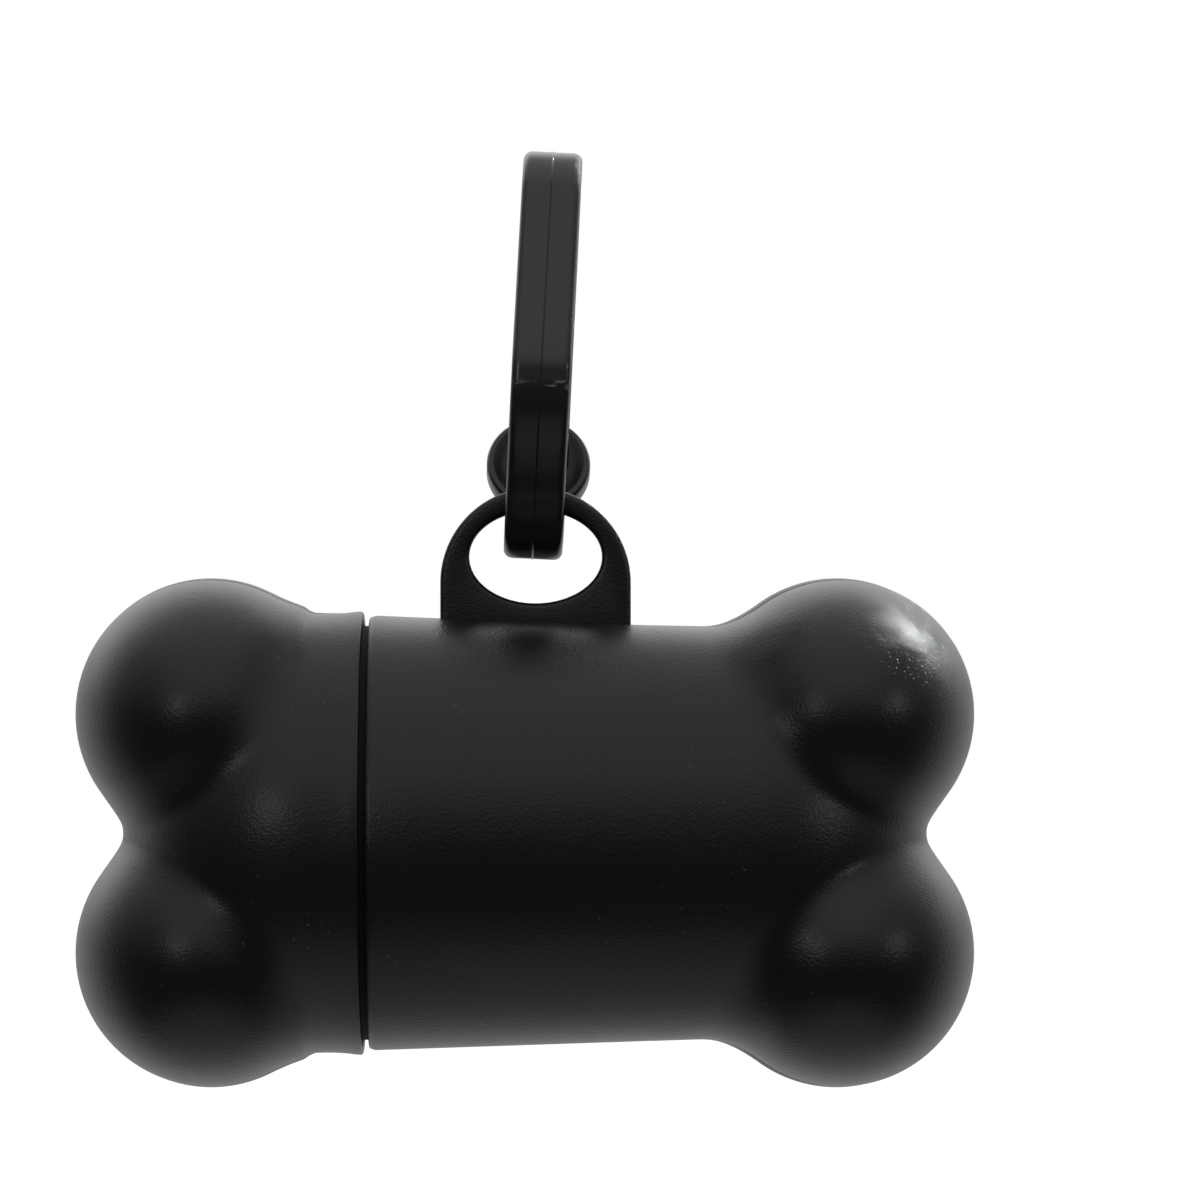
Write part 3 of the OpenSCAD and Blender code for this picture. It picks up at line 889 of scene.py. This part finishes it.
def makeTurned(profile, place):
    # a closed profile of (x, radius) turned about the bone's length; place shifts each point
    bm = bmesh.new()
    way = bm.verts.layers.float.new("turn")
    bmesh.ops.create_circle(bm, segments=roll["around"], radius=1)
    for vert in bm.verts:
        vert[way] = math.atan2(vert.co.y, vert.co.x)

    def onProfile(x, radius):
        def move(vert):
            along, reach = place(x, radius, vert[way])
            return Vector((along, reach * math.cos(vert[way]), roll["z"] + reach * math.sin(vert[way])))
        return move

    for vert in bm.verts:
        vert.co = onProfile(*profile[0])(vert)
    loop = bm.edges[:]
    for x, radius in profile[1:] + profile[:1]:
        loop = extrudeTo(bm, loop, onProfile(x, radius))
    bmesh.ops.remove_doubles(bm, verts=bm.verts, dist=1e-4)
    bmesh.ops.recalc_face_normals(bm, faces=bm.faces)
    return bm


def rollPoint(x, radius, turn):
    # the ends show the wound layers as a spiral; the outside is a little slack
    share = (turn / math.tau) % 1
    end = roll["length"] / 2
    if abs(x) > end - 0.01:
        layer = (radius / roll["layer"] - share) % 1
        sunk = roll["layerDeep"] * (1 - abs(2 * layer - 1))
        sunk += 0.25 * noise.noise(Vector((radius * 0.9, share * 2, x)))
        return math.copysign(end - max(sunk, 0), x), radius
    if radius < roll["coreRadius"] + 0.5:
        return x, radius
    slack = 0.16 * abs(noise.noise(Vector((x * 0.05, 3 * math.cos(turn), 3 * math.sin(turn)))))
    return x, radius - slack - 0.1 * share


def makeRollProfile():
    end = roll["length"] / 2
    inner = roll["coreRadius"] + 0.05
    steps = int((roll["radius"] - 0.3 - inner) / (roll["layer"] / 5))
    face = [inner + (roll["radius"] - 0.3 - inner) * k / steps for k in range(steps + 1)]
    side = [(end - 0.15, roll["radius"] - 0.06)]
    side += [(end - 1.5 - k * (end - 1.5) / 20, roll["radius"]) for k in range(20)]
    profile = [(end, r) for r in face] + side
    return profile + [(-x, r) for x, r in reversed(profile)]


def makeCoreProfile():
    end = roll["length"] / 2
    outer, inner = roll["coreRadius"], roll["coreRadius"] - roll["coreWall"]
    side = [(end, inner + 0.1), (end, outer - 0.12), (end - 0.12, outer)]
    side += [(end - 1 - k * (end - 1) / 28, outer) for k in range(28)]
    profile = side + [(-x, r) for x, r in reversed(side)]
    return profile + [(-end + 0.1, inner), (end - 0.1, inner)]


def corePoint(x, radius, turn):
    # the paper strip's butt joint runs round the core as a helix
    if radius < roll["coreRadius"] - 0.01:
        return x, radius
    off = (x / 17 - turn / math.tau) % 1
    return x, radius - (0.08 if off < 0.03 else 0)


# ---- the end of the bag that is being pulled ----

# Across is measured over the film, turned a little from upright; reach is the distance from
# the seam plane, as a share. The film is folded over like a U: a front ply, a crumpled fold at
# the left and a back ply that stands higher.
film = {
    "turn": 20, "reach": 62, "flat": (0.052, 0.047), "area": 0.0021, "across": 220, "along": 150,
    "seed": 11, "fold": 0.5, "foldHalf": 0.08, "gap": 1.6, "rootGap": 0.4,
    "left": [(0.19, -12.5), (0.32, -10.5), (0.42, -11.5), (0.53, -9.5), (0.66, -5), (0.77, -1.5),
             (0.89, 1.5), (0.97, 3.5), (1, 6)],
    "frontRight": [(0.17, 7), (0.32, 9), (0.4, 11.5), (0.47, 10.5), (0.525, 9.5), (0.62, 9.2),
                   (0.72, 8.6), (0.85, 6.5), (1, 6.5)],
    "backRight": [(0.17, 6), (0.32, 8), (0.45, 9), (0.525, 10), (0.61, 14.5), (0.71, 15),
                  (0.8, 13.5), (0.89, 11), (1, 10)],
    "top": [(0, 0.62), (0.05, 0.7), (0.14, 0.8), (0.2, 0.73), (0.3, 0.77), (0.42, 0.86),
            (0.5, 0.95), (0.56, 0.97), (0.7, 0.99), (0.8, 1.0), (0.92, 0.965), (1, 0.93)],
    # creases from (share across, reach) to (same), with height and half width
    "creases": [
        ((0.05, 0.28), (0.30, 0.75), 1.1, 0.06), ((0.42, 0.50), (0.22, 0.60), 1.2, 0.04),
        ((0.22, 0.60), (0.12, 0.42), 0.9, 0.045), ((0.33, 0.22), (0.38, 0.55), 0.9, 0.05),
        ((0.12, 0.42), (0.02, 0.30), 0.7, 0.04), ((0.27, 0.32), (0.20, 0.50), 0.6, 0.035),
        ((0.62, 0.40), (0.90, 0.90), 1.1, 0.06), ((0.75, 0.30), (0.95, 0.62), 0.9, 0.05),
        ((0.66, 0.92), (0.85, 0.60), 0.8, 0.05), ((0.83, 0.75), (0.99, 0.70), 0.8, 0.04),
    ],
    # paler patches where the film is stretched thin, partly its own milky colour and partly painted light: a
    # painted sheen on the strip by the left fold and painted light coming through the single ply at the right
    # edges; place, size and strength
    "pale": [((0.46, 0.35), (0.07, 0.6), 1.0), ((0.03, 0.40), (0.09, 0.14), 0.9),
             ((0.95, 0.68), (0.13, 0.16), 0.9), ((0.19, 0.57), (0.03, 0.07), 1.0),
             ((0.32, 0.55), (0.10, 0.02), 0.7), ((0.08, 0.60), (0.05, 0.10), 0.5)],
}


def triangle(t):
    return abs((t % 1) * 2 - 1) * 2 - 1


def creaseHeight(v, r, crease):
    start, end, height, half = crease
    line = Vector(end) - Vector(start)
    off = Vector((v, r)) - Vector(start)
    t = max(0, min(1, off.dot(line) / line.length_squared))
    away = (off - line * t).length
    return height * max(0, 1 - away / half) * math.sin(math.pi * (0.15 + 0.7 * t))


def facetHeight(v, r, waves):
    # flat facets that meet in sharp, nearly straight creases
    warp = noise.noise(Vector((v * 3, r * 3, 7))) * 0.35
    return sum(size * triangle(v * a + r * b + warp + shift) for a, b, shift, size in waves)


def filmPoint(v, b, waves):
    top = between(film["top"], v) + 0.012 * noise.noise(Vector((v * 70, 0, 1)))
    root = math.sqrt((roll["radius"] + film["rootGap"]) ** 2 - 10 ** 2) / film["reach"]
    r = root + (top - root) * b
    fold = film["fold"]
    front = v < fold
    left = between(film["left"], r)
    right = between(film["frontRight"] if front else film["backRight"], r)
    away = abs(v - fold) / (fold if front else 1 - fold)       # 0 at the left fold, 1 at the edge
    bend = min(away / (2 * film["foldHalf"]), 1)
    side = -1 if front else 1
    open_ = film["gap"] * (0.5 + 0.9 * b) * math.sin(bend * math.pi / 2) * (1.15 - 0.6 * away ** 2)
    x = side * open_
    for crease in film["creases"]:
        x += side * creaseHeight(v, r, crease)
    free = min(1, b / 0.12)
    x += facetHeight(v, r, waves) * (0.5 + 0.5 * bend) * free
    crumple = (1 - bend) * free
    x += 0.9 * crumple * triangle(r * 13 + noise.noise(Vector((r * 9, v * 12, 2))) * 1.6)
    s = left + (right - left) * away
    s += 0.8 * crumple * (triangle(r * 17 + v * 5) * 0.6 + noise.noise(Vector((r * 30, v * 9, 5))))
    s += 0.35 * noise.noise(Vector((v * 11, r * 8, 8)))
    return x, s, r


# paler patches: partly the thin film's colour, partly a painted sheen and painted light through the single
# ply
def paleness(v, r):
    level = 0
    for (pv, pr), (sv, sr), strength in film["pale"]:
        away = math.hypot((v - pv) / sv, (r - pr) / sr)
        level = max(level, strength * max(0, min(1, (1.1 - away) * 2.5)))
    mottle = noise.noise(Vector((v * 26, r * 20, 4))) + 0.5 * noise.noise(Vector((v * 70, r * 60, 6)))
    return max(0, min(1, level * (0.72 + 0.6 * mottle)))


def makeFilm():
    random.seed(film["seed"])
    waves = []
    for count in (2.3, 3.4, 4.6, 6.5, 9.0, 13.0):
        way = random.uniform(0, math.pi)
        waves.append((count * math.cos(way) * 1.4, count * math.sin(way), random.random(),
                      1.0 / count + 0.04))
    bm = bmesh.new()
    thinAndSheen = bm.verts.layers.float.new("thinAndSheen")
    made = bmesh.ops.create_grid(bm, x_segments=film["across"], y_segments=film["along"], size=0.5)
    turn = math.radians(film["turn"])
    for vert in made["verts"]:
        v, b = vert.co.x + 0.5, vert.co.y + 0.5
        x, s, r = filmPoint(v, b, waves)
        y = r * film["reach"]
        z = s * math.cos(turn) + x * math.sin(turn)
        if b < 0.25:       # the root lies on the roll
            onRoll = math.sqrt((roll["radius"] + film["rootGap"]) ** 2 - (z - roll["z"]) ** 2)
            y += (onRoll - y) * (1 - b / 0.25) ** 2
        vert.co = (opening["x"] - s * math.sin(turn) + x * math.cos(turn), y, z)
        # the pale mask carries a painted sheen and painted light through the ply as well as the thin film's
        # colour
        vert[thinAndSheen] = paleness(v, r)
    return bm


filmPiece = makePiece(makeFilm(), "pulled_bag", "bag", ["bag_end"], filmPlastic, smooth=50)
rollPiece = makePiece(makeTurned(makeRollProfile(), rollPoint), "film_roll", "roll", ["bag_roll"],
                      rollPlastic)
makePiece(makeTurned(makeCoreProfile(), corePoint), "paper_core", "roll", ["roll_core"],
          corePaper)
print("film, roll and core made")


# ---- light, floor and background ----

light = {
    "floorDrop": 0.035,
    "floorWhite": 1.2,
    "lamps": [
        # name, what it is aimed at, direction to it, distance, size, brightness, spread
        ("back right upper", (31, -8, 50), (0.38, 0.59, 0.71), 0.9, (0.05, 0.05), 1500.0, 1.8),
        ("back right", (33, -8, 46.5), (0.57, 0.59, 0.57), 0.9, (0.05, 0.05), 4600.0, 1.8),
        ("back right lower", (35, -8, 43), (0.7, 0.59, 0.4), 0.9, (0.05, 0.05), 1100.0, 1.8),
        ("side right", (0, 0, 5), (0.885, -0.425, 0.2), 0.9, (0.06, 0.09), 16.0, 180),
        ("side left", (0, 0, 5), (-0.53, -0.82, 0.21), 0.9, (0.06, 0.08), 18.0, 180),
    ],
}


def makeLamps(values):
    for name, aim, direction, distance, size, brightness, spread in values["lamps"]:
        aim = toFrame @ Vector(aim)
        data = bpy.data.lights.new(name, "AREA")
        data.shape = "RECTANGLE"
        data.size, data.size_y = size
        data.energy = brightness * size[0] * size[1] * math.pi
        if spread < 180:       # a gridded lamp, whose power would else grow with the narrower beam
            data.spread = math.radians(spread)
            data.energy *= math.tan(math.radians(spread / 2)) ** 2 / 3
        obj = bpy.data.objects.new(name, data)
        away = Vector(direction).normalized()
        obj.location = aim + away * distance
        obj.rotation_euler = away.to_track_quat("Z", "Y").to_euler()
        bpy.context.scene.collection.objects.link(obj)


def makeWorld():
    # a studio that is bright above and behind and dark in front below, as the surface shows it
    world = bpy.data.worlds.new("studio")
    bpy.context.scene.world = world
    world.use_nodes = True
    tree = world.node_tree
    tree.nodes.clear()
    output = tree.nodes.new("ShaderNodeOutputWorld")
    way = tree.nodes.new("ShaderNodeTexCoord").outputs["Generated"]
    parts = tree.nodes.new("ShaderNodeSeparateXYZ")
    tree.links.new(way, parts.inputs[0])
    sideways = mathNode(tree, "ABSOLUTE", parts.outputs["X"])
    narrow = mathNode(tree, "MULTIPLY", rampNode(tree, sideways, 0.4, 0.85), -0.3)
    upper = mathNode(tree, "MULTIPLY", rampNode(tree, parts.outputs["Z"], -0.15, 0.68),
                     mathNode(tree, "ADD", narrow, 0.6))
    top = mathNode(tree, "MULTIPLY", rampNode(tree, parts.outputs["Z"], 0.8, 1.0), 0.05)
    down = mathNode(tree, "MULTIPLY", rampNode(tree, parts.outputs["Z"], -0.68, -1.0), 0.3)
    front = mathNode(tree, "ADD", mathNode(tree, "ADD", upper, top), mathNode(tree, "ADD", down, 0.06))
    behind = rampNode(tree, parts.outputs["Y"], 0.1, 0.9)
    lack = mathNode(tree, "MAXIMUM", mathNode(tree, "SUBTRACT", 0.65, front), 0.0)
    back = mathNode(tree, "MULTIPLY", lack, behind)
    # the lit backdrop, which pales the knobs' upper rims
    screen = mathNode(tree, "MULTIPLY", rampNode(tree, parts.outputs["Z"], 0.05, 0.3),
                      rampNode(tree, parts.outputs["Z"], 0.78, 0.62))
    screen = mathNode(tree, "MULTIPLY", screen, rampNode(tree, parts.outputs["Y"], 0.45, 0.78))
    back = mathNode(tree, "ADD", back, mathNode(tree, "MULTIPLY", screen, 0.7))
    studio = tree.nodes.new("ShaderNodeBackground")
    studio.inputs["Color"].default_value = (1, 1, 1, 1)
    tree.links.new(mathNode(tree, "ADD", front, back), studio.inputs["Strength"])
    plain = tree.nodes.new("ShaderNodeBackground")
    plain.inputs["Color"].default_value = (1, 1, 1, 1)
    seen = tree.nodes.new("ShaderNodeLightPath").outputs["Is Camera Ray"]
    mix = tree.nodes.new("ShaderNodeMixShader")
    tree.links.new(seen, mix.inputs[0])
    tree.links.new(studio.outputs[0], mix.inputs[1])
    tree.links.new(plain.outputs[0], mix.inputs[2])
    tree.links.new(mix.outputs[0], output.inputs["Surface"])


def makeFloor(values):
    # white to the camera but for the object's soft shadow; reflections see the studio below it
    bm = bmesh.new()
    bmesh.ops.create_circle(bm, segments=96, radius=3, cap_ends=True)
    bmesh.ops.translate(bm, vec=(0, 0, cadLow.z - values["floorDrop"]), verts=bm.verts)
    material, tree, shader = newMaterial("floor")
    shader.inputs["Base Color"].default_value = (0.88, 0.88, 0.88, 1)
    shader.inputs["Roughness"].default_value = 0.8
    path = tree.nodes.new("ShaderNodeLightPath")
    white = tree.nodes.new("ShaderNodeEmission")
    white.inputs["Strength"].default_value = values["floorWhite"]
    mix = tree.nodes.new("ShaderNodeMixShader")
    tree.links.new(mathNode(tree, "MULTIPLY", path.outputs["Is Camera Ray"], 0.75), mix.inputs[0])
    tree.links.new(shader.outputs[0], mix.inputs[1])
    tree.links.new(white.outputs[0], mix.inputs[2])
    tree.links.new(mix.outputs[0], tree.nodes["Material Output"].inputs["Surface"])
    mesh = meshFrom(bm, "floor")
    bm.free()
    mesh.materials.append(material)
    obj = bpy.data.objects.new("floor", mesh)
    obj.visible_glossy = False
    bpy.context.scene.collection.objects.link(obj)


makeLamps(light)
makeWorld()
makeFloor(light)
print("light and floor set")
